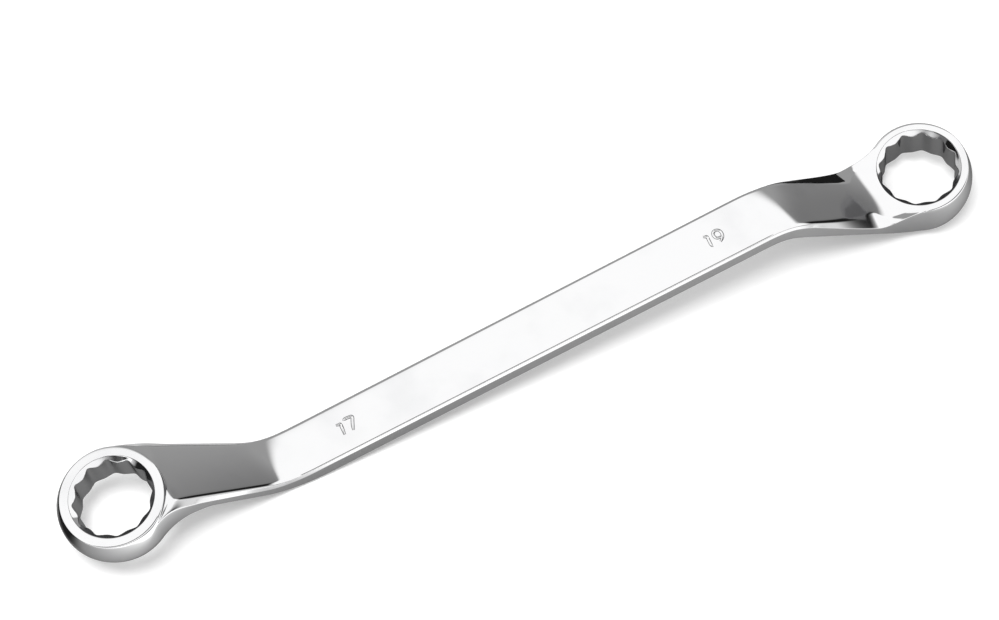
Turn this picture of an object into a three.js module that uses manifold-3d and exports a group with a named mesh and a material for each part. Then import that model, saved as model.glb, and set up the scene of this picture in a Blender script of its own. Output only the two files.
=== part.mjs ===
// Double-ended cranked ring spanner for 17 mm and 19 mm hexagons, one drop forging with a chrome finish.
// Millimetres. +X runs from the small ring to the large one and +Z is up from the table that it lies on.
// The forging is divided at flat sections into its ring heads, its cranked necks and its shank.
import * as THREE from "three";
import { mergeVertices } from "three/addons/utils/BufferGeometryUtils.js";
import Module from "manifold-3d";

const degree = Math.PI / 180;

// Shank: a flat bar with rounded edges, a little wider towards the large ring.
const shankLength = 150.4; // between the inner corners of the two bends
const shankThickness = 6.2;
const shankWidthSmall = 13.9; // side to side where the neck of the small ring starts
const shankWidthLarge = 15.1; // side to side where the neck of the large ring starts
const edgeInset = 0.55; // rounded edge, measured across the flat
const edgeDrop = 1.1; // rounded edge, measured down the side

// Cranks: both rings are offset, one to each side of the shank, and lie parallel to each other.
const ringTilt = 13 * degree; // between a ring's face and the shank's flat
const innerBendRadius = 22;
const outerBendRadius = 30;
const bossHeight = 5; // a ring's offset face stands this far above the neck where they meet
const splayAngle = 4.9 * degree; // of a neck's sides to the spanner's length
const splayRadius = 100;
const rootInset = 1.75; // rounded edges of the inner flat at the ring, across and down
const rootDrop = 1.6;
const crownInset = 4.6; // rounded edge of the outer flat, at its widest before the valley
const crownSetback = 7.5; // of that place from the valley
const rootLength = 5; // from a ring's wall to the section where its neck starts

// Rings: barrel-shaped walls, a twelve-point bore and a countersink at both mouths.
const wallBulge = 1.2; // of the wall at half height, beyond the rim of the faces
const mouthLip = 0.55; // of the countersink beyond the corners of the bore
const countersinkAngle = 55 * degree; // from the ring's axis
const cornerSoftening = 0.9; // length of each flank that the rounding of a corner takes
const toothSoftening = 0.5; // length of each flank that the rounding of a tooth takes

const small = {
  name: "17",
  acrossFlats: 17,
  ringHeight: 10.4,
  faceRim: 2.2, // flat of a face between the mouth and the rim
  neckReach: 43.3, // along the shank from the inner bend to the ring's axis
  crankRise: 23.6, // from the middle of the shank to the middle of the ring
  outerSetback: -1.8, // the outer bend lies this much further out than the inner one
  valleyGap: 0.3, // from the rim of the other face to the valley where the neck runs out
  valleyRadius: 5, // between the neck and that face
  flareRadius: 36, // plan fillet between the neck's side and the ring's wall
  broachTurn: 8 * degree, // of a corner of the bore from the spanner's length
  shankWidth: shankWidthSmall,
};
const large = {
  name: "19",
  acrossFlats: 19,
  ringHeight: 12.4,
  faceRim: 1.9,
  neckReach: 54.2,
  crankRise: 23.95,
  outerSetback: 2,
  valleyGap: 2.8,
  valleyRadius: 10,
  flareRadius: 28,
  broachTurn: 11 * degree,
  shankWidth: shankWidthLarge,
};

// Fineness of the facets.
const stationPitch = 1.1;
const edgeSteps = 3;
const wallSteps = 10;
const turnSteps = 96;
const softeningSteps = 2;
const hair = 0.02; // keeps faces that would share a plane apart while solids are joined
const overrun = 2; // of a cutting shape past what it cuts
const settleRounds = 8;

const points = 12;
const hexagonHalfAngle = 30 * degree;
const pointHalfAngle = Math.PI / points;

const wasm = await Module();
wasm.setup();

const chrome = new THREE.MeshStandardMaterial({
  color: 0xd8dadc,
  roughness: 0.08,
  metalness: 1,
});

function solidOf(geometry) {
  const bare = new THREE.BufferGeometry();
  bare.setAttribute("position", geometry.getAttribute("position"));
  bare.setIndex(geometry.index);
  const merged = mergeVertices(bare, 1e-4);
  const corners = merged.index.array;
  const triangles = [];
  for (let i = 0; i < corners.length; i += 3) {
    const [a, b, c] = corners.slice(i, i + 3);
    if (a !== b && b !== c && c !== a) triangles.push(a, b, c);
  }
  const mesh = new wasm.Mesh({
    numProp: 3,
    vertProperties: new Float32Array(merged.getAttribute("position").array),
    triVerts: new Uint32Array(triangles),
  });
  return new wasm.Manifold(mesh);
}

function geometryOf(solid) {
  const mesh = solid.getMesh();
  const geometry = new THREE.BufferGeometry();
  geometry.setAttribute("position", new THREE.BufferAttribute(mesh.vertProperties, 3));
  geometry.setIndex(new THREE.BufferAttribute(mesh.triVerts, 1));
  geometry.computeVertexNormals();
  return geometry;
}

// Height of a line that turns at zero from one slope to another, with the corner rounded by an arc.
function roundedCorner(run, slopeBefore, slopeAfter, radius) {
  const before = Math.atan(slopeBefore);
  const after = Math.atan(slopeAfter);
  const side = Math.sign(after - before);
  const tangent = radius * Math.tan(Math.abs(after - before) / 2);
  const arcStart = -tangent * Math.cos(before);
  const arcEnd = tangent * Math.cos(after);
  if (run <= arcStart) return slopeBefore * run;
  if (run >= arcEnd) return slopeAfter * run;
  const centreRun = arcStart - side * radius * Math.sin(before);
  const centreHeight = slopeBefore * arcStart + side * radius * Math.cos(before);
  return centreHeight - side * Math.sqrt(radius ** 2 - (run - centreRun) ** 2);
}

// Sizes and side lines of one end in its own frame: u runs out along the shank, v to the side that the
// ring is offset to, both from the middle of the shank.
function crankOf(end) {
  const bend = shankLength / 2;
  const halfThickness = shankThickness / 2;
  const halfHeight = end.ringHeight / 2;
  const corner = end.acrossFlats / 2 / Math.cos(hexagonHalfAngle);
  const tooth = end.acrossFlats / 2 / Math.cos(pointHalfAngle);
  const mouth = corner + mouthLip;
  const rim = mouth + end.faceRim;
  const belly = rim + wallBulge;
  const centre = new THREE.Vector2(bend + end.neckReach, end.crankRise);
  const normal = new THREE.Vector2(Math.sin(ringTilt), Math.cos(ringTilt));
  const along = new THREE.Vector2(Math.cos(ringTilt), -Math.sin(ringTilt));
  const onRing = (out, up) => centre.clone().addScaledVector(along, out).addScaledVector(normal, up);

  // The inner line runs from the bend to the wall below the boss, the outer one to the valley.
  const innerStart = new THREE.Vector2(bend, halfThickness);
  const outerStart = new THREE.Vector2(bend + end.outerSetback, -halfThickness);
  const seat = onRing(-belly, halfHeight - bossHeight);
  const valley = onRing(-rim - end.valleyGap, hair - halfHeight);
  const slopeTo = (from, to) => (to.y - from.y) / (to.x - from.x);
  const innerSlope = slopeTo(innerStart, seat);
  const outerSlope = slopeTo(outerStart, valley);
  const faceSlope = -Math.tan(ringTilt);

  function innerLine(u) {
    if (u > seat.x) return seat.y + faceSlope * (u - seat.x);
    return innerStart.y + roundedCorner(u - innerStart.x, 0, innerSlope, innerBendRadius);
  }
  function outerLine(u) {
    const middle = (outerStart.x + valley.x) / 2;
    if (u > middle) return valley.y + roundedCorner(u - valley.x, outerSlope, faceSlope, end.valleyRadius);
    return outerStart.y + roundedCorner(u - outerStart.x, 0, outerSlope, outerBendRadius);
  }

  // In plan a side follows the shank, splays from the bends on and sweeps onto the ring's widest circle.
  const neckStart = outerStart.x - outerBendRadius * Math.tan(Math.atan(outerSlope) / 2);
  const rootEnd = centre.x - tooth / 2;
  const splayStart = Math.max(innerStart.x, outerStart.x);
  const splaySlope = Math.tan(splayAngle);
  const axisGap = (end.shankWidth / 2 + splaySlope * (centre.x - splayStart)) * Math.cos(splayAngle);
  const sweepGap = axisGap + end.flareRadius;
  const sweep = Math.sqrt((belly + end.flareRadius) ** 2 - sweepGap ** 2);
  const flare = new THREE.Vector2(-sweep, sweepGap).rotateAround(new THREE.Vector2(), splayAngle);
  flare.x += centre.x;
  const flareStart = flare.x + end.flareRadius * Math.sin(splayAngle);
  const flareEnd = centre.x - ((centre.x - flare.x) * belly) / (belly + end.flareRadius);

  function splayedHalf(u) {
    return end.shankWidth / 2 + roundedCorner(u - splayStart, 0, splaySlope, splayRadius);
  }
  function sideHalf(u) {
    if (u < flareStart) return splayedHalf(u);
    if (u < flareEnd) return flare.y - Math.sqrt(end.flareRadius ** 2 - (u - flare.x) ** 2);
    const sunk = THREE.MathUtils.lerp(belly, rim, (u - flareEnd) / (rootEnd - flareEnd)) - hair;
    return Math.sqrt(sunk ** 2 - (centre.x - u) ** 2);
  }

  // The inner flat runs straight on to the boss. The outer one narrows to a crown and opens at the valley.
  const crown = valley.x - crownSetback;
  const share = (u, from, to) => THREE.MathUtils.clamp((u - from) / (to - from), 0, 1);
  function section(u) {
    const run = share(u, splayStart, seat.x);
    const side = sideHalf(u);
    const innerInset = THREE.MathUtils.lerp(edgeInset, rootInset, run);
    const crownedInset = THREE.MathUtils.lerp(edgeInset, crownInset, share(u, splayStart, crown) ** 2);
    const outerInset = THREE.MathUtils.lerp(crownedInset, edgeInset + wallBulge, share(u, crown, valley.x));
    return {
      u,
      side,
      drop: THREE.MathUtils.lerp(edgeDrop, rootDrop, run),
      inner: { flat: splayedHalf(u) - innerInset, level: innerLine(u) },
      outer: { flat: side - outerInset, level: outerLine(u) },
    };
  }

  return {
    corner,
    tooth,
    mouth,
    rim,
    belly,
    halfHeight,
    centre,
    section,
    neckStart,
    neckEnd: centre.x - belly - rootLength,
    rootEnd,
  };
}

// Closed outline of a section: flat, rounded edge, side, rounded edge, and the same back.
function outlineOf({ u, side, drop, inner, outer }) {
  const quarter = [];
  for (let i = 0; i <= edgeSteps; i += 1) quarter.push(((Math.PI / 2) * i) / edgeSteps);
  const half = [];
  for (const turn of quarter) {
    const across = inner.flat + (side - inner.flat) * Math.sin(turn);
    half.push([across, inner.level - drop * (1 - Math.cos(turn))]);
  }
  for (const turn of quarter.reverse()) {
    const across = outer.flat + (side - outer.flat) * Math.sin(turn);
    half.push([across, outer.level + drop * (1 - Math.cos(turn))]);
  }
  const mirrored = half.map(([across, level]) => [-across, level]).reverse();
  return [...half, ...mirrored].map(([across, level]) => new THREE.Vector3(u, across, level));
}

// Closed skin over outlines that follow each other along +X, with flat ends.
function loft(outlines) {
  const count = outlines[0].length;
  const positions = outlines.flat().flatMap((point) => point.toArray());
  const index = [];
  for (let ring = 0; ring + 1 < outlines.length; ring += 1) {
    for (let i = 0; i < count; i += 1) {
      const a = ring * count + i;
      const b = ring * count + ((i + 1) % count);
      index.push(a, a + count, b, b, a + count, b + count);
    }
  }
  const last = (outlines.length - 1) * count;
  for (let i = 1; i + 1 < count; i += 1) {
    index.push(0, i, i + 1);
    index.push(last, last + i + 1, last + i);
  }
  const geometry = new THREE.BufferGeometry();
  geometry.setAttribute("position", new THREE.Float32BufferAttribute(positions, 3));
  geometry.setIndex(index);
  geometry.computeVertexNormals();
  return geometry;
}

function stations(from, to) {
  const steps = Math.ceil((to - from) / stationPitch);
  return Array.from({ length: steps + 1 }, (_, i) => THREE.MathUtils.lerp(from, to, i / steps));
}

function loftedCrank(crank, from, to) {
  return loft(stations(from, to).map((u) => outlineOf(crank.section(u))));
}

// Turns a shape made round +Z about the middle of its height into the place of an end's ring.
function ontoRing(geometry, crank) {
  return geometry.rotateY(ringTilt).translate(crank.centre.x, 0, crank.centre.y);
}

function turned(profile, crank) {
  const spun = new THREE.LatheGeometry(profile, turnSteps);
  return solidOf(ontoRing(spun.rotateX(Math.PI / 2), crank));
}

function ringBlank(crank) {
  const profile = [new THREE.Vector2(0, -crank.halfHeight)];
  for (let i = 0; i <= wallSteps; i += 1) {
    const level = (2 * i) / wallSteps - 1;
    const radius = crank.rim + wallBulge * (1 - level ** 2);
    profile.push(new THREE.Vector2(radius, level * crank.halfHeight));
  }
  profile.push(new THREE.Vector2(0, crank.halfHeight));
  return turned(profile, crank);
}

// Twelve-point bore: two hexagons turned to each other, with softened corners and teeth.
function broach(crank, turn) {
  const tips = [];
  for (let i = 0; i < 2 * points; i += 1) {
    const radius = i % 2 ? crank.tooth : crank.corner;
    const angle = turn + i * pointHalfAngle;
    tips.push(new THREE.Vector2(radius * Math.cos(angle), radius * Math.sin(angle)));
  }
  const shape = new THREE.Shape();
  tips.forEach((tip, i) => {
    const before = tips.at(i - 1);
    const after = tips[(i + 1) % tips.length];
    const softening = i % 2 ? toothSoftening : cornerSoftening;
    const start = tip.clone().lerp(before, softening / tip.distanceTo(before));
    const end = tip.clone().lerp(after, softening / tip.distanceTo(after));
    if (i === 0) shape.moveTo(start.x, start.y);
    else shape.lineTo(start.x, start.y);
    shape.quadraticCurveTo(tip.x, tip.y, end.x, end.y);
  });
  const depth = 2 * (crank.halfHeight + overrun);
  const options = { depth, bevelEnabled: false, curveSegments: softeningSteps };
  const prism = new THREE.ExtrudeGeometry(shape, options).translate(0, 0, -depth / 2);
  return solidOf(ontoRing(prism, crank));
}

// Both countersinks as one spool, slimmer than the bore between them.
function countersinks(crank) {
  const waist = crank.tooth - toothSoftening;
  const depth = (crank.mouth - waist) / Math.tan(countersinkAngle);
  const top = crank.halfHeight + overrun;
  const wide = crank.mouth + overrun * Math.tan(countersinkAngle);
  const profile = [
    new THREE.Vector2(0, -top),
    new THREE.Vector2(wide, -top),
    new THREE.Vector2(waist, depth - crank.halfHeight),
    new THREE.Vector2(waist, crank.halfHeight - depth),
    new THREE.Vector2(wide, top),
    new THREE.Vector2(0, top),
  ];
  return turned(profile, crank);
}

function ringHead(end, crank) {
  const root = solidOf(loftedCrank(crank, crank.neckEnd, crank.rootEnd));
  const head = ringBlank(crank).add(root);
  return geometryOf(head.subtract(broach(crank, end.broachTurn)).subtract(countersinks(crank)));
}

function named(name, geometry) {
  const mesh = new THREE.Mesh(geometry, chrome);
  mesh.name = name;
  return mesh;
}

function cranked(end) {
  const crank = crankOf(end);
  const group = new THREE.Group();
  group.add(named(`neck_${end.name}`, loftedCrank(crank, crank.neckStart, crank.neckEnd)));
  group.add(named(`ring_${end.name}`, ringHead(end, crank)));
  return group;
}

// The small end points to -X with its ring above the shank, the large end to +X with its ring below.
const smallEnd = cranked(small);
smallEnd.rotation.z = Math.PI;
const largeEnd = cranked(large);
largeEnd.rotation.x = Math.PI;

// At both seams the bar is alike above and below, so the shank runs straight from one to the other.
function shank() {
  const smallCrank = crankOf(small);
  const largeCrank = crankOf(large);
  const smallSeam = { ...smallCrank.section(smallCrank.neckStart), u: -smallCrank.neckStart };
  const largeSeam = largeCrank.section(largeCrank.neckStart);
  return loft([outlineOf(smallSeam), outlineOf(largeSeam)]);
}

// Tilt at which the lowest points of the two halves come down to the table together.
function restTilt(forging) {
  const vertices = [];
  forging.updateMatrixWorld(true);
  forging.traverse((mesh) => {
    if (!mesh.isMesh) return;
    const position = mesh.geometry.getAttribute("position");
    for (let i = 0; i < position.count; i += 1) {
      vertices.push(new THREE.Vector3().fromBufferAttribute(position, i).applyMatrix4(mesh.matrixWorld));
    }
  });
  const left = vertices.filter((vertex) => vertex.x < 0);
  const right = vertices.filter((vertex) => vertex.x >= 0);
  let tilt = 0;
  for (let round = 0; round < settleRounds; round += 1) {
    const height = ({ x, z }) => z * Math.cos(tilt) + x * Math.sin(tilt);
    const lower = (a, b) => (height(b) < height(a) ? b : a);
    const leftFoot = left.reduce(lower);
    const rightFoot = right.reduce(lower);
    tilt = Math.atan2(leftFoot.z - rightFoot.z, rightFoot.x - leftFoot.x);
  }
  return tilt;
}

const forging = new THREE.Group();
forging.add(smallEnd, named("shank", shank()), largeEnd);
forging.rotation.y = -restTilt(forging);

// The origin is on the table, below the middle of the spanner.
const spanner = new THREE.Group();
spanner.add(forging);
const box = new THREE.Box3().setFromObject(spanner, true);
const middle = box.getCenter(new THREE.Vector3());
forging.position.set(-middle.x, -middle.y, -box.min.z);

export default spanner;
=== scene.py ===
import math
import bmesh
import bpy
from mathutils import Matrix, Vector


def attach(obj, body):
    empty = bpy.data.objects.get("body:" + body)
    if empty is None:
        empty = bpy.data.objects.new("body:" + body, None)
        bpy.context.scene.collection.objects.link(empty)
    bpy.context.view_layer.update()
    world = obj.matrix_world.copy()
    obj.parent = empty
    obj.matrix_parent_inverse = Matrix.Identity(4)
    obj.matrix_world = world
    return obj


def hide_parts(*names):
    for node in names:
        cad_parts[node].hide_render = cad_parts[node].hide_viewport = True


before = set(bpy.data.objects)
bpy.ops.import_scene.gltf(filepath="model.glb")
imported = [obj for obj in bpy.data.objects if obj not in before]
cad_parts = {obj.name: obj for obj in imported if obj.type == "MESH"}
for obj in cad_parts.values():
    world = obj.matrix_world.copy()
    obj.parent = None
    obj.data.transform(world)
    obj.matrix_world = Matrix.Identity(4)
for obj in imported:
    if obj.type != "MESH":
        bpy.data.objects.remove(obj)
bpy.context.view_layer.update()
print("frame loaded")

millimetre = 0.001

# camera
cameraPlan = {
    "place": (-384.042, -304.125, 654.062),
    "turn": (35.5445, -12.4823, -33.2114),
    "lens": 114.198,
    "sensor": 36.0,
    "clipStart": 0.01,
}


def setCamera(plan):
    place = [millimetre * value for value in plan["place"]]
    turn = [math.radians(value) for value in plan["turn"]]
    bpy.ops.object.camera_add(location=place, rotation=turn)
    camera = bpy.context.object
    camera.name = "camera"
    camera.data.lens = plan["lens"]
    camera.data.sensor_width = plan["sensor"]
    camera.data.clip_start = plan["clipStart"]
    bpy.context.scene.camera = camera
    bpy.context.scene.view_settings.view_transform = "Standard"


bpy.ops.object.select_all(action="DESELECT")
setCamera(cameraPlan)
print("camera set")


# forging, sizes in millimetres and degrees
forgingPlan = {
    "shankLength": 150.4,
    "shankThickness": 6.2,
    "shankWidthMiddle": 14.5,
    "taperSetback": 12.0,  # of the end of the shank's taper from the bend
    "edgeInset": 0.55,
    "edgeDrop": 1.1,
    "ringTilt": 13.0,
    "innerBendRadius": 22.0,
    "outerBendRadius": 30.0,
    "bossHeight": 5.0,
    "shoulderDrop": 1.2,  # below the ring's face the inner flat turns level with it
    "shoulderRadius": 5.0,
    "splayAngle": 4.9,
    "splayRadius": 100.0,
    "rootInset": 1.2,
    "rootDrop": 1.6,
    "crownInset": 4.6,
    "crownLead": 1.0,  # of the bevel's height before its width
    "crownClose": 4.2,  # length over which the bevel of the outer flat closes at the valley
    "valleyInset": 0.5,
    "valleyDrop": 0.4,
    "mouthLip": 0.55,
    "countersink": 42.0,  # of its cone to the ring's face
    "flatCrown": 0.13,  # the flats fall off this much to their edges
    "neckCrown": 0.1,
    "edgeFall": 0.1,  # of a narrow polished facet along the edges of a neck's flats
    "edgeFallRun": 0.2,  # share of the neck over which the facet starts
    "smoothAngle": 32.0,  # edges sharper than this stay sharp
    "restTilt": 9.273063,
    "restShift": (-5.98916, 0.0, 13.60925),
}
smallEnd = {
    "name": "small",
    "acrossFlats": 17.0,
    "ringHeight": 10.4,
    "faceRim": 2.2,
    "wallBulge": 1.5,
    "neckReach": 43.3,
    "crankRise": 23.6,
    "outerSetback": -1.8,
    "valleyGap": 0.3,
    # of the neck's outer flat into the ring's face, before and after the valley
    "valleySweep": (6.0, 2.0),
    "crownSetback": 6.8,
    "flareRadius": 36.0,
    "broachTurn": 8.0,
    "shankWidth": 13.9,
    "rootGap": 1.6,  # of the neck's first section from the wall or the valley
}
largeEnd = {
    "name": "large",
    "acrossFlats": 19.0,
    "ringHeight": 12.4,
    "faceRim": 1.9,
    "wallBulge": 1.2,
    "neckReach": 54.2,
    "crankRise": 23.95,
    "outerSetback": 2.0,
    "valleyGap": 2.8,
    "valleySweep": (14.0, 4.4),
    "crownSetback": 3.4,
    "flareRadius": 28.0,
    "broachTurn": 11.0,
    "shankWidth": 15.1,
    "rootGap": 1.2,
}

# cage of the forging: columns round a ring, rows down its wall
cagePlan = {
    "columns": 72,
    "neckColumns": 13,  # to each side of the neck's middle
    "neckAngles": (0, 9, 18, 27, 35, 39.5, 42, 43, 44, 47, 51, 55.5, 60, 65),
    "bulgeColumns": (7, 15),
    "flatColumns": 7,
    "flatShares": (0.0, 0.22, 0.44, 0.66, 0.86),
    "flatEdge": (1.0, 0.5, 0.0),  # last columns of a flat, from its edge
    "bevelShares": (0.0, 0.3, 0.55, 0.8, 0.93, 1.0),
    "bevelEdge": 0.42,  # first column of a bevel, from the same edge
    "bevelEdgeMost": 0.25,  # of the bevel's width
    "rootBevel": 2.0,  # width of a bevel beside the ring
    "sideShares": (0.08, 0.5, 0.92),
    "mouthEdge": 0.12,
    "mouthStep": (0.02, 0.07),  # across and down, before the countersink's cone
    "rimEdge": 0.55,
    "boreEdge": 0.13,
    "seatEdge": 0.7,
    "seatEdgeMost": 0.3,  # of the boss's wall
    "seatRise": 0.6,
    "underSeat": 0.5,
    "seatHalvings": 24,
    "freeLevels": (0.55, 0.3, 0.08, -0.15, -0.42),  # wall rows off the neck, of half its height
    "fadeColumns": 7,  # from the neck's wall rows to those
    "ridgeBelowRim": 0.4,
    "points": 12,
    "pointShift": 2,  # columns from the spanner's length to the first corner, near enough
    "flankShares": (0.0, 0.36, 0.66, 1.0),  # from a corner of the bore to a tooth
    "coneShares": (0.0, 0.06, 0.88, 1.0),
    "boreShares": (-1.0, -0.4, 0.4, 1.0),
    "rootSteps": (0.07, 0.25, 0.5, 0.75, 1.0),
    "neckSteps": (1.0, 2.4),  # close to the ring or the bend, and elsewhere
    "ringReach": 6.0,
    "bendReach": 4.0,
    "neckEnd": 60.0,
    "shankStations": (50.0, 34.0, 17.0, 0.0),
    "cageWeld": 0.001,
    "seamWeld": 0.005,
}
rimRow = 5
seatRow = 8
bottomRow = 12


def lerp(a, b, portion):
    return a + (b - a) * portion


def share(value, start, end):
    return min(max((value - start) / (end - start), 0.0), 1.0)


def smooth(value, start, end):
    s = share(value, start, end)
    return s * s * (3 - 2 * s)


# height of a line that turns at zero from one slope to another over an arc
def roundedCorner(run, slopeBefore, slopeAfter, radius):
    before, after = math.atan(slopeBefore), math.atan(slopeAfter)
    side = math.copysign(1, after - before)
    tangent = radius * math.tan(abs(after - before) / 2)
    arcStart, arcEnd = -tangent * math.cos(before), tangent * math.cos(after)
    if run <= arcStart:
        return slopeBefore * run
    if run >= arcEnd:
        return slopeAfter * run
    centreRun = arcStart - side * radius * math.sin(before)
    centreHeight = slopeBefore * arcStart + side * radius * math.cos(before)
    return centreHeight - side * math.sqrt(radius ** 2 - (run - centreRun) ** 2)


# the same with a parabola, which may start further from the corner than it ends
def sweptCorner(run, slopeBefore, slopeAfter, before, after):
    if run <= -before:
        return slopeBefore * run
    if run >= after:
        return slopeAfter * run
    bend = after - before
    if abs(bend) < 0.001:
        t = (run + before) / (2 * before)
    else:
        t = (math.sqrt(before ** 2 + bend * (run + before)) - before) / bend
    return -slopeBefore * before * (1 - t) ** 2 + slopeAfter * after * t ** 2


def hermite(start, startPull, end, endPull, t):
    a = 2 * t ** 3 - 3 * t ** 2 + 1
    b = t ** 3 - 2 * t ** 2 + t
    return start * a + startPull * b + end * (1 - a) + endPull * (t ** 3 - t ** 2)


# columns across a flat and its bevel, as shares of their widths
def flatShare(reach, width):
    shares = cagePlan["flatShares"]
    if reach < len(shares):
        return shares[reach] * (1 - cagePlan["flatEdge"][0] / width)
    return 1 - cagePlan["flatEdge"][reach - len(shares)] / width


def bevelShare(reach, width):
    step = reach - cagePlan["flatColumns"] - 1
    if step:
        return cagePlan["bevelShares"][step]
    return min(cagePlan["bevelEdge"] / width, cagePlan["bevelEdgeMost"])


# bearing of a column on the ring's wall, from the neck's middle
def columnAngle(column):
    angles, pitch = cagePlan["neckAngles"], 360 / cagePlan["columns"]
    reach = abs(column)
    return math.copysign(angles[reach] if reach < len(angles) else pitch * reach, column)


# one end in its own frame: u out along the shank, v to the side of the offset
class Crank:
    def __init__(self, end, plan):
        self.end, self.plan = end, plan
        self.bend = plan["shankLength"] / 2
        self.halfThickness = plan["shankThickness"] / 2
        self.halfHeight = end["ringHeight"] / 2
        self.tilt = math.radians(plan["ringTilt"])
        self.corner = end["acrossFlats"] / 2 / math.cos(math.radians(30))
        self.tooth = end["acrossFlats"] / 2 / math.cos(math.radians(15))
        self.mouth = self.corner + plan["mouthLip"]
        self.rim = self.mouth + end["faceRim"]
        self.belly = self.rim + end["wallBulge"]
        self.centre = Vector((self.bend + end["neckReach"], 0, end["crankRise"]))
        self.along = Vector((math.cos(self.tilt), 0, -math.sin(self.tilt)))
        self.normal = Vector((math.sin(self.tilt), 0, math.cos(self.tilt)))
        seat = self.onRing(180, self.belly, self.halfHeight - plan["bossHeight"])
        valley = self.onRing(180, self.rim + end["valleyGap"], -self.halfHeight)
        self.seatU = seat.x
        self.valleyU, self.valleyV = valley.x, valley.z
        self.outerStart = self.bend + end["outerSetback"]
        self.innerSlope = (seat.z - self.halfThickness) / (seat.x - self.bend)
        self.outerSlope = (valley.z + self.halfThickness) / (valley.x - self.outerStart)
        self.faceSlope = -math.tan(self.tilt)
        shoulder = self.onRing(180, 0, self.halfHeight - plan["shoulderDrop"])
        faceStart = shoulder.z - self.faceSlope * shoulder.x
        flatStart = self.halfThickness - self.innerSlope * self.bend
        self.shoulderU = (faceStart - flatStart) / (self.innerSlope - self.faceSlope)
        self.setSides()
        self.rootU = min(self.centre.x - self.belly, self.valleyU) - end["rootGap"]

    def onRing(self, angle, radius, level):
        turn = math.radians(angle)
        across = Vector((0, radius * math.sin(turn), 0))
        return self.centre + self.along * (radius * math.cos(turn)) + across + self.normal * level

    # the barrel fades to a straight wall above the neck
    def wallRadius(self, level, column):
        bulge = self.end["wallBulge"] * smooth(abs(column), *cagePlan["bulgeColumns"])
        return self.rim + bulge * (1 - (level / self.halfHeight) ** 2)

    def setSides(self):
        end, splay = self.end, math.radians(self.plan["splayAngle"])
        self.splayStart = max(self.bend, self.outerStart)
        self.splaySlope = math.tan(splay)
        half = end["shankWidth"] / 2 + self.splaySlope * (self.centre.x - self.splayStart)
        sweepGap = half * math.cos(splay) + end["flareRadius"]
        sweep = math.sqrt((self.belly + end["flareRadius"]) ** 2 - sweepGap ** 2)
        self.flareU = self.centre.x - sweep * math.cos(splay) - sweepGap * math.sin(splay)
        self.flareY = -sweep * math.sin(splay) + sweepGap * math.cos(splay)
        self.flareStart = self.flareU + end["flareRadius"] * math.sin(splay)

    def shankHalf(self, u):
        middle, ends = self.plan["shankWidthMiddle"] / 2, self.end["shankWidth"] / 2
        return lerp(middle, ends, share(u, 0, self.bend - self.plan["taperSetback"]))

    def splayedHalf(self, u):
        run = u - self.splayStart
        return self.shankHalf(u) + roundedCorner(run, 0, self.splaySlope, self.plan["splayRadius"])

    def sideHalf(self, u):
        if u < self.flareStart:
            return self.splayedHalf(u)
        return self.flareY - math.sqrt(self.end["flareRadius"] ** 2 - (u - self.flareU) ** 2)

    def innerLine(self, u):
        plan, slope = self.plan, self.innerSlope
        if u > (self.bend + self.shoulderU) / 2:
            run, base = u - self.shoulderU, slope * (self.shoulderU - self.bend)
            turned = roundedCorner(run, slope, self.faceSlope, plan["shoulderRadius"])
            return self.halfThickness + base + turned
        turned = roundedCorner(u - self.bend, 0, slope, plan["innerBendRadius"])
        return self.halfThickness + turned

    def outerLine(self, u):
        slope = self.outerSlope
        if u > (self.outerStart + self.valleyU) / 2:
            run, sweep = u - self.valleyU, self.end["valleySweep"]
            return self.valleyV + sweptCorner(run, slope, self.faceSlope, *sweep)
        turned = roundedCorner(u - self.outerStart, 0, slope, self.plan["outerBendRadius"])
        return -self.halfThickness + turned

    # point of a neck's outline: column across it, row from the inner flat to the outer one
    def sectionPoint(self, column, row, u):
        plan, cage = self.plan, cagePlan
        reach, sign = abs(column), math.copysign(1, column)
        run = share(u, self.splayStart, self.seatU)
        side = self.sideHalf(u)
        drop = lerp(plan["edgeDrop"], plan["rootDrop"], run)
        innerFlat = self.splayedHalf(u) - lerp(plan["edgeInset"], plan["rootInset"], run)
        crownU = self.valleyU - self.end["crownSetback"]
        crownEnd = crownU + plan["crownClose"]
        widening = share(u, self.splayStart, crownU) ** 2
        crowned = lerp(plan["edgeInset"], plan["crownInset"], widening)
        outerFlat = side - lerp(crowned, plan["valleyInset"], share(u, crownU, crownEnd))
        lowering = smooth(u, crownU - plan["crownLead"], crownEnd)
        outerDrop = lerp(drop, plan["valleyDrop"], lowering)
        inner, outer = self.innerLine(u), self.outerLine(u)
        if seatRow < row < bottomRow:
            down = cage["sideShares"][row - seatRow - 1]
            return Vector((u, sign * side, lerp(inner - drop, outer + outerDrop, down)))
        flat, level, fall = outerFlat, outer, outerDrop
        if row == seatRow:
            flat, level, fall = innerFlat, inner, -drop
        crown = math.copysign(lerp(plan["flatCrown"], plan["neckCrown"], run), fall)
        facet = plan["edgeFall"] * share(run, 0, plan["edgeFallRun"])
        if row == bottomRow:
            facet *= 1 - smooth(u, crownU - plan["crownClose"], crownU)
        start = crown + math.copysign(facet, fall)
        if reach == cage["flatColumns"]:
            return Vector((u, sign * flat, level + start))
        if reach < cage["flatColumns"]:
            across = flatShare(reach, flat)
            return Vector((u, sign * flat * across, level + crown * across ** 2))
        bevel = bevelShare(reach, math.hypot(side - flat, fall))
        return Vector((u, sign * lerp(flat, side, bevel), level + lerp(start, fall, bevel)))

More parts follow.
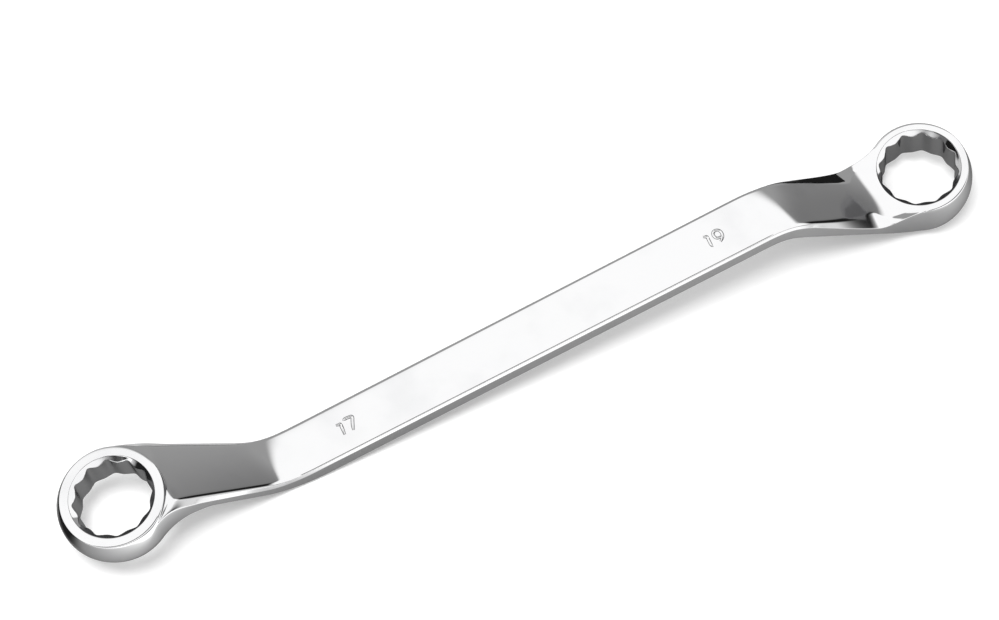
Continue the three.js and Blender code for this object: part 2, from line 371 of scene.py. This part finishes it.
    # height on the wall where the inner flat meets it, and the ridge's rise to the rim
    def seatLevel(self, column):
        cage = cagePlan
        flat = math.copysign(min(abs(column), cage["flatColumns"]), column)
        angle = 180 - columnAngle(int(flat))
        low, high = -self.halfHeight, self.halfHeight
        for _ in range(cage["seatHalvings"]):
            level = (low + high) / 2
            point = self.onRing(angle, self.wallRadius(level, column), level)
            if point.z < self.innerLine(point.x):
                low = level
            else:
                high = level
        ridge = self.halfHeight - cage["rimEdge"] - cage["ridgeBelowRim"]
        level = min(level, ridge)
        edge, last = columnAngle(cage["flatColumns"]), columnAngle(cage["neckColumns"])
        return lerp(level, ridge, share(columnAngle(abs(column)), edge, last))

    def wallLevel(self, column, row):
        cage, h = cagePlan, self.halfHeight
        top = h - cage["rimEdge"]
        free = (top, *[part * h for part in cage["freeLevels"]], -top)
        neck = cage["neckColumns"]
        seat = self.seatLevel(max(min(column, neck), -neck))
        lip = seat + min(cage["seatEdge"], cage["seatEdgeMost"] * (top - seat))
        rise = lerp(lip, top, cage["seatRise"])
        near = (top, rise, lip, seat, seat - cage["underSeat"], 0, -top)
        fade = smooth(abs(column), neck, neck + cage["fadeColumns"])
        return lerp(near[row - rimRow], free[row - rimRow], fade)

    def wallPoint(self, column, row):
        angle = 180 - columnAngle(column)
        if row == bottomRow:
            point = self.onRing(angle, self.rim, -self.halfHeight)
            if abs(column) <= cagePlan["neckColumns"]:
                point.z = self.outerLine(point.x)
            return point
        level = self.wallLevel(column, row)
        return self.onRing(angle, self.wallRadius(level, column), level)

    # edge line from the wall, along which it leaves as a tangent, to the neck's first section
    def sweptPoint(self, column, row, t):
        start, end = self.wallPoint(column, row), self.sectionPoint(column, row, self.rootU)
        turn = math.radians(180 - columnAngle(column))
        sign = math.copysign(1, column)
        leave = sign * (-self.along * math.sin(turn) + Vector((0, math.cos(turn), 0)))
        further = self.sectionPoint(column, row, self.rootU - 1)
        pull = (end - start).length
        return hermite(start, leave * pull, end, (further - end).normalized() * pull, t)

    def flatPoint(self, column, row, t):
        end = self.sectionPoint(column, row, self.rootU)
        point = self.wallPoint(column, row).lerp(end, t)
        line = self.outerLine if row == bottomRow else self.innerLine
        point.z = line(point.x) + t * (end.z - line(self.rootU))
        return point

    def rootPoint(self, column, row, t):
        cage = cagePlan
        reach, sign = abs(column), int(math.copysign(1, column))
        if seatRow < row < bottomRow:
            return self.sweptPoint(column, row, t)
        if reach <= cage["flatColumns"]:
            return self.flatPoint(column, row, t)
        ridgeColumn, edgeColumn = sign * cage["neckColumns"], sign * cage["flatColumns"]
        bevel = bevelShare(reach, cage["rootBevel"])
        point = self.flatPoint(edgeColumn, row, t).lerp(self.sweptPoint(ridgeColumn, row, t), bevel)
        chord = self.wallPoint(edgeColumn, row).lerp(self.wallPoint(ridgeColumn, row), bevel)
        return point + (self.wallPoint(column, row) - chord) * (1 - t) ** 2

    # places of the cage's sections, from the ring to the middle of the shank
    def stations(self):
        cage, u, found = cagePlan, self.rootU, []
        closeStep, wideStep = cage["neckSteps"]
        while u > cage["neckEnd"]:
            atBend = abs(u - self.bend) < cage["bendReach"]
            u -= closeStep if atBend or u > self.rootU - cage["ringReach"] else wideStep
            found.append(u)
        return [*found, *cage["shankStations"]]


# point of the twelve-point bore: a column's place between a corner and a tooth
def borePoint(crank, column):
    cage = cagePlan
    pitch, pointTurn = 360 / cage["columns"], 360 / cage["points"]
    perPoint = cage["columns"] // cage["points"]
    step = (column - cage["pointShift"]) % perPoint
    first = crank.end["broachTurn"] + pitch * (column - cage["pointShift"] - step)

    def polar(angle, radius):
        turn = math.radians(angle)
        return Vector((math.cos(turn), math.sin(turn))) * radius

    corner, tooth = polar(first, crank.corner), polar(first + pointTurn / 2, crank.tooth)
    if step > perPoint // 2:
        step, corner = perPoint - step, polar(first + pointTurn, crank.corner)
    place = corner.lerp(tooth, cage["flankShares"][step])
    return place.length, math.degrees(math.atan2(place.y, place.x))


# closed loops round the ring, from the upper mouth over the wall and up the bore again
def ringLoops(crank):
    cage, h = cagePlan, crank.halfHeight
    pitch, half = 360 / cage["columns"], cage["columns"] // 2
    innerShift = crank.end["broachTurn"] - cage["pointShift"] * pitch
    sink = math.tan(math.radians(crank.plan["countersink"]))
    stepAcross, stepDown = cage["mouthStep"]

    def circle(radius, level, turned):
        def place(k):
            angle = lerp(180 - columnAngle(half - k), pitch * k + innerShift, turned)
            point = crank.onRing(angle, radius, level)
            if level < 0 and abs(half - k) <= cage["neckColumns"]:
                point.z = crank.outerLine(point.x)
            return point
        return place

    def wall(row):
        return lambda k: crank.wallPoint(half - k, row)

    def cone(portion, side):
        def place(k):
            radius, angle = borePoint(crank, k)
            even = pitch * k + innerShift
            gap = (angle - even + 180) % 360 - 180
            within = lerp(crank.mouth - stepAcross, radius, portion)
            depth = stepDown + (crank.mouth - within) * sink
            return crank.onRing(even + gap * portion, within, side * (h - depth))
        return place

    def bore(depth):
        def place(k):
            radius, angle = borePoint(crank, k)
            end = h - stepDown - (crank.mouth - radius) * sink - cage["boreEdge"]
            return crank.onRing(angle, radius, end * depth)
        return place

    def face(side):
        return [
            circle(crank.mouth, side * h, 1),
            circle(crank.mouth + cage["mouthEdge"], side * h, 1),
            circle((crank.mouth + crank.rim) / 2, side * h, 0.5),
            circle(crank.rim - cage["rimEdge"], side * h, 0),
        ]

    loops = face(1)
    loops.append(circle(crank.rim, h, 0))
    loops += [wall(row) for row in range(rimRow, bottomRow + 1)]
    loops += face(-1)[::-1]
    loops += [cone(portion, -1) for portion in cage["coneShares"]]
    loops += [bore(depth) for depth in cage["boreShares"]]
    loops += [cone(portion, 1) for portion in cage["coneShares"][::-1]]
    loops.append(circle(crank.mouth, h, 1))
    return loops


# lays the selected loop by its columns and rows
def layLoop(piece, place, row=None):
    cage = bmesh.from_edit_mesh(piece.data)
    columnLayer = cage.verts.layers.int["column"]
    rowLayer = cage.verts.layers.int["row"]
    for vert in cage.verts:
        if vert.select:
            if row is not None:
                vert[rowLayer] = row
            vert.co = place(vert[columnLayer], vert[rowLayer])
    bmesh.update_edit_mesh(piece.data)


def modelRing(crank):
    bpy.ops.object.select_all(action="DESELECT")
    bpy.ops.mesh.primitive_circle_add(vertices=cagePlan["columns"], radius=crank.mouth)
    piece = bpy.context.object
    piece.name = "end_" + crank.end["name"]
    columns = piece.data.attributes.new("column", "INT", "POINT")
    columns.data.foreach_set("value", range(cagePlan["columns"]))
    piece.data.attributes.new("row", "INT", "POINT")
    bpy.ops.object.mode_set(mode="EDIT")
    bpy.ops.mesh.select_mode(type="VERT")
    bpy.ops.mesh.select_all(action="SELECT")
    for row, loop in enumerate(ringLoops(crank)):
        if row:
            bpy.ops.mesh.extrude_region_move()
        layLoop(piece, lambda k, r: loop(k), row)
    bpy.ops.mesh.select_all(action="SELECT")
    bpy.ops.mesh.remove_doubles(threshold=cagePlan["cageWeld"])
    return piece


# takes the neck's patch out of the wall and draws its edge out to the middle of the shank
def drawNeck(piece, crank):
    half = cagePlan["columns"] // 2
    neck = cagePlan["neckColumns"]
    bpy.ops.mesh.select_mode(type="FACE")
    bpy.ops.mesh.select_all(action="DESELECT")
    cage = bmesh.from_edit_mesh(piece.data)
    columnLayer = cage.verts.layers.int["column"]
    rowLayer = cage.verts.layers.int["row"]
    for side in cage.faces:
        rows = [vert[rowLayer] for vert in side.verts]
        reach = [abs(half - vert[columnLayer]) for vert in side.verts]
        inPatch = min(rows) >= seatRow and max(rows) <= bottomRow and max(reach) <= neck
        side.select_set(inPatch)
    bmesh.update_edit_mesh(piece.data)
    bpy.ops.mesh.delete(type="FACE")
    bpy.ops.mesh.select_mode(type="EDGE")
    bpy.ops.mesh.select_all(action="DESELECT")
    bpy.ops.mesh.select_non_manifold()
    for t in cagePlan["rootSteps"]:
        bpy.ops.mesh.extrude_region_move()
        layLoop(piece, lambda k, r: crank.rootPoint(half - k, r, t))
    for u in crank.stations():
        bpy.ops.mesh.extrude_region_move()
        layLoop(piece, lambda k, r: crank.sectionPoint(half - k, r, u))
    bpy.ops.object.mode_set(mode="OBJECT")


# turns an end, or the tool of a mark, into its place on the table
def placeEnd(piece, turn):
    plan = forgingPlan
    shift = Matrix.Translation(Vector(plan["restShift"]))
    tilt = Matrix.Rotation(-math.radians(plan["restTilt"]), 4, "Y")
    piece.matrix_world = Matrix.Scale(millimetre, 4) @ shift @ tilt @ turn
    bpy.ops.object.select_all(action="DESELECT")
    piece.select_set(True)
    bpy.context.view_layer.objects.active = piece
    bpy.ops.object.transform_apply(location=True, rotation=True, scale=True)


def modelForging():
    ends = []
    for end, axis in ((smallEnd, "Z"), (largeEnd, "X")):
        crank = Crank(end, forgingPlan)
        piece = modelRing(crank)
        drawNeck(piece, crank)
        placeEnd(piece, Matrix.Rotation(math.pi, 4, axis))
        ends.append(piece)
    bpy.ops.object.select_all(action="DESELECT")
    for piece in ends:
        piece.select_set(True)
    bpy.context.view_layer.objects.active = ends[0]
    bpy.ops.object.join()
    forging = ends[0]
    forging.name = "spanner_forging"
    bpy.ops.object.mode_set(mode="EDIT")
    bpy.ops.mesh.select_all(action="SELECT")
    bpy.ops.mesh.remove_doubles(threshold=cagePlan["seamWeld"] * millimetre)
    bpy.ops.mesh.normals_make_consistent(inside=False)
    bpy.ops.object.mode_set(mode="OBJECT")
    rounding = forging.modifiers.new("rounding", "SUBSURF")
    rounding.levels = rounding.render_levels = 1
    bpy.ops.object.modifier_apply(modifier=rounding.name)
    bpy.ops.object.shade_smooth()
    return forging


forging = modelForging()
print("forging modelled:", len(forging.data.polygons), "faces")

# size marks: strokes on the shank's broad flat, in millimetres along and across it
markPlan = {
    "strokes": (
        ((-56.75, 1.35), (-55.9, 1.05), (-55.5, 1.2), (-55.83, -0.5), (-56.12, -2.0)),
        ((-54.3, 1.45), (-54.15, 1.85), (-53.0, 1.75), (-51.75, 1.65), (-52.55, 0.3),
         (-53.2, -0.9), (-53.6, -2.0)),
        ((53.9, 1.4), (54.5, 1.05), (54.95, 1.15), (54.6, -0.5), (54.35, -2.0), (54.7, -2.05)),
        ((58.15, -0.75), (57.2, -0.95), (56.45, -0.2), (56.65, 1.0), (57.55, 1.6), (58.75, 1.2),
         (58.95, 0.0), (58.35, -1.3), (57.15, -2.0)),
    ),
    "strokeRadius": 0.48,
    "strokeLift": 0.1,  # of the stroke's axis over the flat
    "endRadius": 0.7,
    "curveOrder": 3,
    "curveSteps": 6,
    "roundSteps": 4,
}


# a round tool drawn along each stroke and sunk into the flat
def sinkMarks(plan):
    for points in plan["strokes"]:
        bpy.ops.object.select_all(action="DESELECT")
        bpy.ops.curve.primitive_nurbs_path_add()
        stroke = bpy.context.object
        spline = stroke.data.splines[0]
        spline.points.add(max(len(points) - len(spline.points), 0))
        level = forgingPlan["shankThickness"] / 2 + plan["strokeLift"]
        for point, (along, across) in zip(spline.points, points):
            point.co = (along, across, level, 1)
        spline.points[0].radius = spline.points[-1].radius = plan["endRadius"]
        spline.order_u = plan["curveOrder"]
        spline.resolution_u = plan["curveSteps"]
        stroke.data.bevel_depth = plan["strokeRadius"]
        stroke.data.bevel_resolution = plan["roundSteps"]
        stroke.data.fill_mode = "FULL"
        stroke.data.use_fill_caps = True
        bpy.ops.object.convert(target="MESH")
        cutter = bpy.context.object
        bpy.ops.object.mode_set(mode="EDIT")
        bpy.ops.mesh.select_all(action="SELECT")
        bpy.ops.mesh.remove_doubles(threshold=cagePlan["cageWeld"])
        bpy.ops.mesh.normals_make_consistent(inside=False)
        bpy.ops.object.mode_set(mode="OBJECT")
        placeEnd(cutter, Matrix.Identity(4))
        bpy.context.view_layer.objects.active = forging
        sunk = forging.modifiers.new("sunk", "BOOLEAN")
        sunk.object = cutter
        sunk.operation = "DIFFERENCE"
        sunk.solver = "MANIFOLD"
        bpy.ops.object.modifier_apply(modifier=sunk.name)
        bpy.data.objects.remove(cutter)
    bpy.ops.object.select_all(action="DESELECT")
    forging.select_set(True)
    bpy.ops.object.shade_smooth_by_angle(angle=math.radians(forgingPlan["smoothAngle"]))


sinkMarks(markPlan)
print("marks sunk:", len(forging.data.polygons), "faces")


# shader nodes, in a tree: a number or a socket may be given as a value
def mathNode(tree, operation, first, second=0.0, clamp=False):
    node = tree.nodes.new("ShaderNodeMath")
    node.operation = operation
    node.use_clamp = clamp
    for socket, value in zip(node.inputs, (first, second)):
        if isinstance(value, (int, float)):
            socket.default_value = value
        else:
            tree.links.new(value, socket)
    return node.outputs[0]


def rangeNode(tree, value, start, end):
    node = tree.nodes.new("ShaderNodeMapRange")
    node.interpolation_type = "SMOOTHSTEP"
    node.inputs["From Min"].default_value = start
    node.inputs["From Max"].default_value = end
    tree.links.new(value, node.inputs["Value"])
    return node.outputs["Result"]


def rampNode(tree, value, stops):
    node = tree.nodes.new("ShaderNodeValToRGB")
    ramp = node.color_ramp
    while len(ramp.elements) < len(stops):
        ramp.elements.new(0.5)
    for element, (place, grey) in zip(ramp.elements, stops):
        element.position = place
        element.color = (grey, grey, grey, 1)
    tree.links.new(value, node.inputs["Fac"])
    return node.outputs["Color"]


def mixNode(tree, factor, first, second):
    node = tree.nodes.new("ShaderNodeMix")
    node.data_type = "RGBA"
    tree.links.new(factor, node.inputs["Factor"])
    for name, value in (("A", first), ("B", second)):
        socket = [s for s in node.inputs if s.name == name and s.type == "RGBA"][0]
        if isinstance(value, float):
            socket.default_value = (value, value, value, 1)
        elif isinstance(value, tuple):
            socket.default_value = value
        else:
            tree.links.new(value, socket)
    return [s for s in node.outputs if s.type == "RGBA"][0]


# chrome plate: mirror bright, with fine polishing lines and faint handling haze
chromePlan = {
    "plate": (0.97, 0.97, 0.975, 1.0),
    "hazeShade": (0.91, 0.912, 0.92, 1.0),
    "mirrored": (0.22, 0.22, 0.225, 1.0),  # painted reflection: chrome seen in chrome is painted a flat dark grey
    "roughness": 0.05,
    "hazeRoughness": 0.04,
    "mirroredRoughness": 0.6,
    "hazeScale": 60.0,
    "hazeDetail": 3.0,
    "hazePatches": (0.45, 0.75),
    "lineScale": (90.0, 2600.0, 2600.0),  # drawn out along the spanner
    "lineDetail": 2.0,
    "lineDepth": 0.03,
    "lineHeight": 0.00002,
}


# node group: fine lines along the spanner and soft haze, from the object's own coordinates
def polishGroup(plan):
    group = bpy.data.node_groups.new("polish_marks", "ShaderNodeTree")
    group.interface.new_socket("Place", in_out="INPUT", socket_type="NodeSocketVector")
    group.interface.new_socket("Haze", in_out="OUTPUT", socket_type="NodeSocketFloat")
    group.interface.new_socket("Lines", in_out="OUTPUT", socket_type="NodeSocketFloat")
    entry = group.nodes.new("NodeGroupInput")
    leave = group.nodes.new("NodeGroupOutput")
    haze = group.nodes.new("ShaderNodeTexNoise")
    haze.inputs["Scale"].default_value = plan["hazeScale"]
    haze.inputs["Detail"].default_value = plan["hazeDetail"]
    group.links.new(entry.outputs["Place"], haze.inputs["Vector"])
    patches = rangeNode(group, haze.outputs["Fac"], *plan["hazePatches"])
    group.links.new(patches, leave.inputs["Haze"])
    stretch = group.nodes.new("ShaderNodeMapping")
    stretch.inputs["Scale"].default_value = plan["lineScale"]
    group.links.new(entry.outputs["Place"], stretch.inputs["Vector"])
    lines = group.nodes.new("ShaderNodeTexNoise")
    lines.inputs["Scale"].default_value = 1
    lines.inputs["Detail"].default_value = plan["lineDetail"]
    group.links.new(stretch.outputs["Vector"], lines.inputs["Vector"])
    group.links.new(lines.outputs["Fac"], leave.inputs["Lines"])
    return group


def chromeMaterial(plan):
    chrome = bpy.data.materials.new("chrome_plate")
    chrome.use_nodes = True
    tree = chrome.node_tree
    shader = tree.nodes["Principled BSDF"]
    shader.inputs["Metallic"].default_value = 1
    polish = tree.nodes.new("ShaderNodeGroup")
    polish.node_tree = polishGroup(plan)
    tree.links.new(tree.nodes.new("ShaderNodeTexCoord").outputs["Object"], polish.inputs["Place"])
    # chrome that other chrome mirrors is painted a flat dark grey: a painted reflection
    mirrored = tree.nodes.new("ShaderNodeLightPath").outputs["Is Glossy Ray"]
    shade = mixNode(tree, polish.outputs["Haze"], plan["plate"], plan["hazeShade"])
    tree.links.new(mixNode(tree, mirrored, shade, plan["mirrored"]), shader.inputs["Base Color"])
    soft = mathNode(tree, "MULTIPLY_ADD", polish.outputs["Haze"], plan["hazeRoughness"])
    soft.node.inputs[2].default_value = plan["roughness"]
    roughness = mathNode(tree, "MULTIPLY_ADD", mirrored, plan["mirroredRoughness"])
    tree.links.new(soft, roughness.node.inputs[2])
    tree.links.new(roughness, shader.inputs["Roughness"])
    bump = tree.nodes.new("ShaderNodeBump")
    bump.inputs["Strength"].default_value = plan["lineDepth"]
    bump.inputs["Distance"].default_value = plan["lineHeight"]
    tree.links.new(polish.outputs["Lines"], bump.inputs["Height"])
    tree.links.new(bump.outputs["Normal"], shader.inputs["Normal"])
    return chrome


forging.data.materials.clear()
forging.data.materials.append(chromeMaterial(chromePlan))
print("chrome laid")
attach(forging, "root")
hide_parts("ring_17", "neck_17", "shank", "neck_19", "ring_19")

# floor and studio
studioPlan = {
    "floorSize": 6.0,
    "floorShade": 0.8,
    "floorRoughness": 0.9,
    "floorGlow": 0.25,
    "fill": 0.55,
    "lampPlace": (-0.62, -0.2, 1.15),
    "lampSize": 0.35,
    "lampPower": 14.0,
    # the room that the chrome mirrors, by the direction that a ray takes
    "darkShade": 0.01,
    "backRoom": (0.18, 0.31),  # from the right to the back
    "backBearing": (0.37, 0.5),
    "leftFade": (0.1, -0.4),
    "frontFade": (-0.35, -0.6),
    # greys of the room round the spanner, from the horizon (0.5) to overhead (1.0)
    "leftRoom": ((0.45, 0.01), (0.54, 0.01), (0.62, 1.0)),
    "frontRoom": ((0.45, 1.0), (0.51, 0.9), (0.54, 0.04), (0.58, 0.04), (0.7, 1.0)),
    "rightStripe": (-0.25, 0.06, 0.31, 0.36),  # dark upright in the room, by its bearing
    "rightLight": 0.7,
    "ceilingSlant": -0.1,
    "ceilingEdge": (0.61, 0.48),
    "ceilingStart": (0.25, 0.42),
    "ceilingGlow": 1.0,
    "ceilingSlat": (-0.08, -0.16, -0.7, -0.8),  # dark gap in the ceiling, from back to front
    "slatReach": (0.5, 0.4),  # to the right, where the gap ends
    "slatShade": 0.03,
    # painted reflection of the floor: greys that the chrome mirrors, with painted shade darkest
    # close to the spanner, from the front (0.0) to the back (1.0)
    "floorPaintedReflection": ((0.0, 1.0), (0.1, 0.6), (0.25, 0.42), (0.34, 0.32), (0.4, 0.25),
                    (0.47, 0.17), (0.56, 0.11), (0.8, 0.5)),
    "floorMirrorReach": 0.08,
    # painted shade: dark corners of that mirrored floor, along and across the spanner
    "rightPaintedShade": ((0.08, 0.12), (0.015, 0.03)),
    "leftPaintedShade": ((-0.138, -0.146), (-0.008, 0.004)),
    "leastRun": 0.05,
    "leastHeight": 0.02,
}


# the chrome mirrors a white ceiling with a dark gap, grey to the right and behind, dark to the left
def setWorld(plan):
    world = bpy.data.worlds.new("studio")
    bpy.context.scene.world = world
    world.use_nodes = True
    tree = world.node_tree
    direction = tree.nodes.new("ShaderNodeSeparateXYZ")
    tree.links.new(tree.nodes.new("ShaderNodeTexCoord").outputs["Generated"], direction.inputs[0])
    x, y, z = direction.outputs
    level = mathNode(tree, "MULTIPLY_ADD", z, 0.5)
    level.node.inputs[2].default_value = 0.5
    left = rampNode(tree, level, plan["leftRoom"])
    front = rampNode(tree, level, plan["frontRoom"])
    bearing = mathNode(tree, "DIVIDE", y, mathNode(tree, "MAXIMUM", x, plan["leastRun"]))
    frontSide, stripeStart, stripeEnd, backSide = plan["rightStripe"]
    back = mixNode(tree, rangeNode(tree, bearing, *plan["backBearing"]), *plan["backRoom"])
    pastStripe = rangeNode(tree, bearing, stripeStart, frontSide)
    lightSide = mixNode(tree, pastStripe, plan["darkShade"], plan["rightLight"])
    right = mixNode(tree, rangeNode(tree, bearing, stripeEnd, backSide), lightSide, back)
    room = mixNode(tree, rangeNode(tree, x, *plan["leftFade"]), right, left)
    room = mixNode(tree, rangeNode(tree, y, *plan["frontFade"]), room, front)
    height = mathNode(tree, "MAXIMUM", z, plan["leastHeight"])
    slant = mathNode(tree, "MULTIPLY", x, plan["ceilingSlant"])
    beyond = mathNode(tree, "DIVIDE", mathNode(tree, "ADD", y, slant), height)
    ceiling = mathNode(tree, "MULTIPLY", rangeNode(tree, beyond, *plan["ceilingEdge"]),
                       rangeNode(tree, z, *plan["ceilingStart"]))
    slatBack, slatStart, slatEnd, slatFront = plan["ceilingSlat"]
    gap = mathNode(tree, "MULTIPLY", rangeNode(tree, beyond, slatBack, slatStart),
                   rangeNode(tree, beyond, slatFront, slatEnd))
    inReach = rangeNode(tree, mathNode(tree, "DIVIDE", x, height), *plan["slatReach"])
    gap = mathNode(tree, "MULTIPLY", gap, inReach)
    overhead = mixNode(tree, gap, plan["ceilingGlow"], plan["slatShade"])
    mirrored = mixNode(tree, ceiling, room, overhead)
    path = tree.nodes.new("ShaderNodeLightPath")
    seen = mixNode(tree, path.outputs["Is Glossy Ray"], plan["fill"], mirrored)
    seen = mixNode(tree, path.outputs["Is Camera Ray"], seen, 1.0)
    tree.links.new(seen, tree.nodes["Background"].inputs["Color"])


def setFloor(plan):
    bpy.ops.object.select_all(action="DESELECT")
    bpy.ops.mesh.primitive_plane_add(size=plan["floorSize"])
    floor = bpy.context.object
    floor.name = "floor"
    paper = bpy.data.materials.new("floor_paper")
    paper.use_nodes = True
    tree = paper.node_tree
    shader = tree.nodes["Principled BSDF"]
    shade, glow = plan["floorShade"], plan["floorGlow"]
    shader.inputs["Roughness"].default_value = plan["floorRoughness"]
    shader.inputs["Specular IOR Level"].default_value = 0
    place = tree.nodes.new("ShaderNodeSeparateXYZ")
    tree.links.new(tree.nodes.new("ShaderNodeTexCoord").outputs["Object"], place.inputs[0])
    x, y = place.outputs[:2]
    # only glossy rays see this painted reflection of the floor, darkened near the spanner as
    # painted shade
    back = mathNode(tree, "MULTIPLY_ADD", y, 0.5 / plan["floorMirrorReach"], True)
    back.node.inputs[2].default_value = 0.5
    mirror = rampNode(tree, back, plan["floorPaintedReflection"])
    # painted shade: two dark corners of the mirrored floor, so that the ring walls reflect black
    for along, across in (plan["leftPaintedShade"], plan["rightPaintedShade"]):
        corner = mathNode(tree, "MULTIPLY", rangeNode(tree, x, *along), rangeNode(tree, y, *across))
        mirror = mixNode(tree, corner, mirror, plan["darkShade"])
    path = tree.nodes.new("ShaderNodeLightPath")
    glossy, camera = path.outputs["Is Glossy Ray"], path.outputs["Is Camera Ray"]
    tree.links.new(mixNode(tree, glossy, shade, mirror), shader.inputs["Base Color"])
    shader.inputs["Emission Color"].default_value = (1, 1, 1, 1)
    tree.links.new(mathNode(tree, "MULTIPLY", camera, glow), shader.inputs["Emission Strength"])
    floor.data.materials.append(paper)


def setLamp(plan):
    bpy.ops.object.light_add(type="AREA", location=plan["lampPlace"])
    lamp = bpy.context.object
    lamp.name = "soft_lamp"
    lamp.data.size = plan["lampSize"]
    lamp.data.energy = plan["lampPower"]
    lamp.rotation_euler = (-lamp.location).to_track_quat("-Z", "Y").to_euler()
    lamp.visible_glossy = False


setFloor(studioPlan)
setLamp(studioPlan)
setWorld(studioPlan)
print("studio set")
